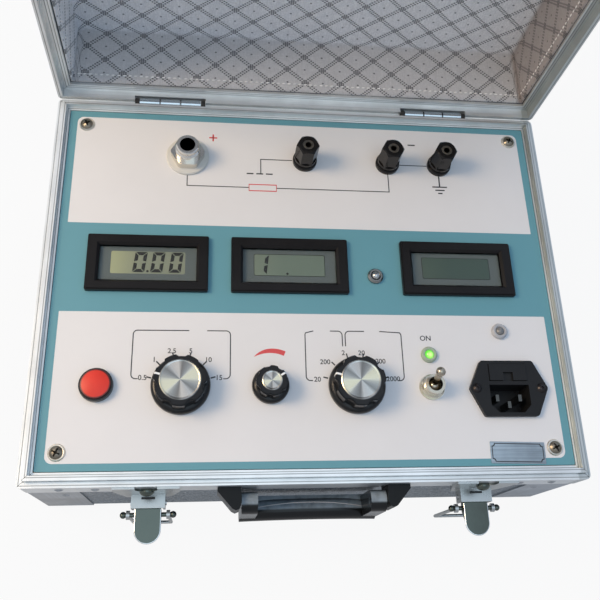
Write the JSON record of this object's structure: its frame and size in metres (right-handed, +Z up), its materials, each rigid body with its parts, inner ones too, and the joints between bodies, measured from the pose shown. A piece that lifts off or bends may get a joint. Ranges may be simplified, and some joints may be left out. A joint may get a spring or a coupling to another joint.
{
  "type": "megohmmeter",
  "caption": "Portable high-voltage insulation tester in an aluminium carrying case, lid open, with panel meters, rotary controls, binding posts and a mains inlet.",
  "frame": {"origin": "middle of the case's underside, level with the floor board's lower face", "axes": "+Z up out of the panel, +Y towards the hinges and the open lid, +X to the right of someone who works at the panel"},
  "size_m": [0.3228, 0.3272, 0.3436],
  "materials": {
    "case_sheet": "embossed sheet with a fine sparkle",
    "rim_section": "satin anodised section",
    "corner_angle": "satin sheet",
    "rubber_foot": "matt",
    "hinge_steel": "plated",
    "pin_steel": "plated",
    "latch_chrome": "plated, lightly scratched",
    "lever_chrome": "dark mirror plating",
    "handle_plastic": "semi-gloss moulding",
    "panel_paint": "printed matt face",
    "block_wood": "planed",
    "screw_nickel": "nickel plated",
    "white_plastic": "translucent",
    "socket_nickel": "nickel plated",
    "post_plastic": "polished moulding",
    "stem_brass": "turned",
    "meter_plastic": "fine moulded grain",
    "meter_window": "clear",
    "circuit_board": "soldered board",
    "ring_chrome": "polished",
    "lamp_green": "lit lens",
    "lamp_grey": "unlit lens",
    "switch_plastic": "moulded",
    "toggle_nickel": "nickel plated",
    "ring_black": "moulded",
    "button_red": "moulded",
    "spring_steel": "drawn wire",
    "inlet_plastic": "moulded",
    "blade_nickel": "nickel plated",
    "fuse_glass": "clear with metal ends",
    "module_plastic": "potted",
    "knob_plastic": "moulded",
    "disc_aluminium": "spun face",
    "lining_cloth": "woven, patterned with lozenges"
  },
  "bodies": {
    "base": {"base_shell": "case_sheet", "base_rim": "rim_section", "base_corner_angles": "corner_angle", "feet": "rubber_foot", "hinge_base_leaves": "hinge_steel", "pivot_pins": "pin_steel", "latch_housings": "latch_chrome", "handle_brackets": "handle_plastic", "front_panel": "panel_paint", "panel_blocks": "block_wood", "panel_screws": "screw_nickel", "hv_insulators": "white_plastic", "hv_socket": "socket_nickel", "post_flanges": "post_plastic", "post_stems": "stem_brass", "left_meter_case": "meter_plastic", "middle_meter_case": "meter_plastic", "right_meter_case": "meter_plastic", "meter_windows": "meter_window", "meter_boards": "circuit_board", "ring_bezels": "ring_chrome", "power_lamp": "lamp_green", "charger_lamp": "lamp_grey", "voltage_switch": "switch_plastic", "resistance_switch": "switch_plastic", "adjust_pot": "switch_plastic", "toggle_switch": "toggle_nickel", "test_button_body": "ring_black", "test_button_spring": "spring_steel", "inlet_body": "inlet_plastic", "inlet_blades": "blade_nickel", "main_board": "circuit_board", "hv_module": "module_plastic", "battery": "module_plastic"},
    "lid": {"lid_shell": "case_sheet", "lid_rim": "rim_section", "lid_corner_angles": "corner_angle", "lid_lining": "lining_cloth", "latch_keepers": "latch_chrome", "hinge_lid_leaves": "hinge_steel"},
    "handle": {"handle_grip": "handle_plastic"},
    "latch_left": {"latch_lever_left": "lever_chrome"},
    "latch_right": {"latch_lever_right": "lever_chrome"},
    "bail_left": {"latch_bail_left": "latch_chrome"},
    "bail_right": {"latch_bail_right": "latch_chrome"},
    "guard_post": {"guard_cap": "post_plastic"},
    "minus_post": {"minus_cap": "post_plastic"},
    "earth_post": {"earth_cap": "post_plastic"},
    "voltage_selector": {"voltage_knob": "knob_plastic", "voltage_spindle": "disc_aluminium"},
    "resistance_selector": {"resistance_knob": "knob_plastic", "resistance_spindle": "disc_aluminium"},
    "voltage_adjuster": {"adjust_knob": "knob_plastic", "adjust_spindle": "disc_aluminium"},
    "toggle": {"toggle_lever": "toggle_nickel"},
    "test_button": {"test_button_cap": "button_red"},
    "hold_switch": {"hold_button": "ring_chrome"},
    "drawer": {"fuse_drawer": "inlet_plastic", "fuse": "fuse_glass"}
  },
  "joints": [
    {"name": "lid_hinge", "type": "hinge", "parent": "base", "child": "lid", "pos_m": [0, 0.1225, 0.08615], "axis": [1, 0, 0], "range_deg": [0, 90]},
    {"name": "handle_fold", "type": "hinge", "parent": "base", "child": "handle", "pos_m": [0, -0.1305, 0.071], "axis": [-1, 0, 0], "range_deg": [0, 90]},
    {"name": "latch_left_lever", "type": "hinge", "parent": "base", "child": "latch_left", "pos_m": [-0.093, -0.1275, 0.0545], "axis": [1, 0, 0], "range_deg": [0, 90]},
    {"name": "latch_right_lever", "type": "hinge", "parent": "base", "child": "latch_right", "pos_m": [0.099, -0.1275, 0.0545], "axis": [1, 0, 0], "range_deg": [0, 90]},
    {"name": "bail_left_swing", "type": "hinge", "parent": "latch_left", "child": "bail_left", "pos_m": [-0.093, -0.134, 0.0545], "axis": [1, 0, 0], "range_deg": [-270, 0]},
    {"name": "bail_right_swing", "type": "hinge", "parent": "latch_right", "child": "bail_right", "pos_m": [0.099, -0.134, 0.0545], "axis": [1, 0, 0], "range_deg": [-270, 0]},
    {"name": "voltage_turn", "type": "hinge", "parent": "base", "child": "voltage_selector", "pos_m": [-0.0762, -0.0673, 0.086], "axis": [0, 0, -1], "range_deg": [0, 150]},
    {"name": "resistance_turn", "type": "hinge", "parent": "base", "child": "resistance_selector", "pos_m": [0.0254, -0.0673, 0.086], "axis": [0, 0, -1], "range_deg": [0, 150]},
    {"name": "adjust_turn", "type": "hinge", "parent": "base", "child": "voltage_adjuster", "pos_m": [-0.0251, -0.0673, 0.086], "axis": [0, 0, -1], "range_deg": [-210, 90]},
    {"name": "toggle_flip", "type": "hinge", "parent": "base", "child": "toggle", "pos_m": [0.0705, -0.0682, 0.09], "axis": [1, 0, 0], "range_deg": [0, 26]},
    {"name": "test_press", "type": "slide", "parent": "base", "child": "test_button", "axis": [0, 0, -1], "range_m": [0, 0.0024], "stiffness_N_per_m": 600, "deforming": ["test_button_spring"]},
    {"name": "hold_press", "type": "slide", "parent": "base", "child": "hold_switch", "axis": [0, 0, -1], "range_m": [0, 0.0012], "stiffness_N_per_m": 300},
    {"name": "drawer_pull", "type": "slide", "parent": "base", "child": "drawer", "axis": [0, 0, 1], "range_m": [0, 0.02]},
    {"name": "guard_screw", "type": "slide", "parent": "base", "child": "guard_post", "axis": [0, 0, 1], "range_m": [0, 0.004]},
    {"name": "minus_screw", "type": "slide", "parent": "base", "child": "minus_post", "axis": [0, 0, 1], "range_m": [0, 0.004]},
    {"name": "earth_screw", "type": "slide", "parent": "base", "child": "earth_post", "axis": [0, 0, 1], "range_m": [0, 0.004]}
  ],
  "couplings": [
    {"joint": "bail_left_swing", "follows": "latch_left_lever", "ratio": -3},
    {"joint": "bail_right_swing", "follows": "latch_right_lever", "ratio": -3}
  ]
}
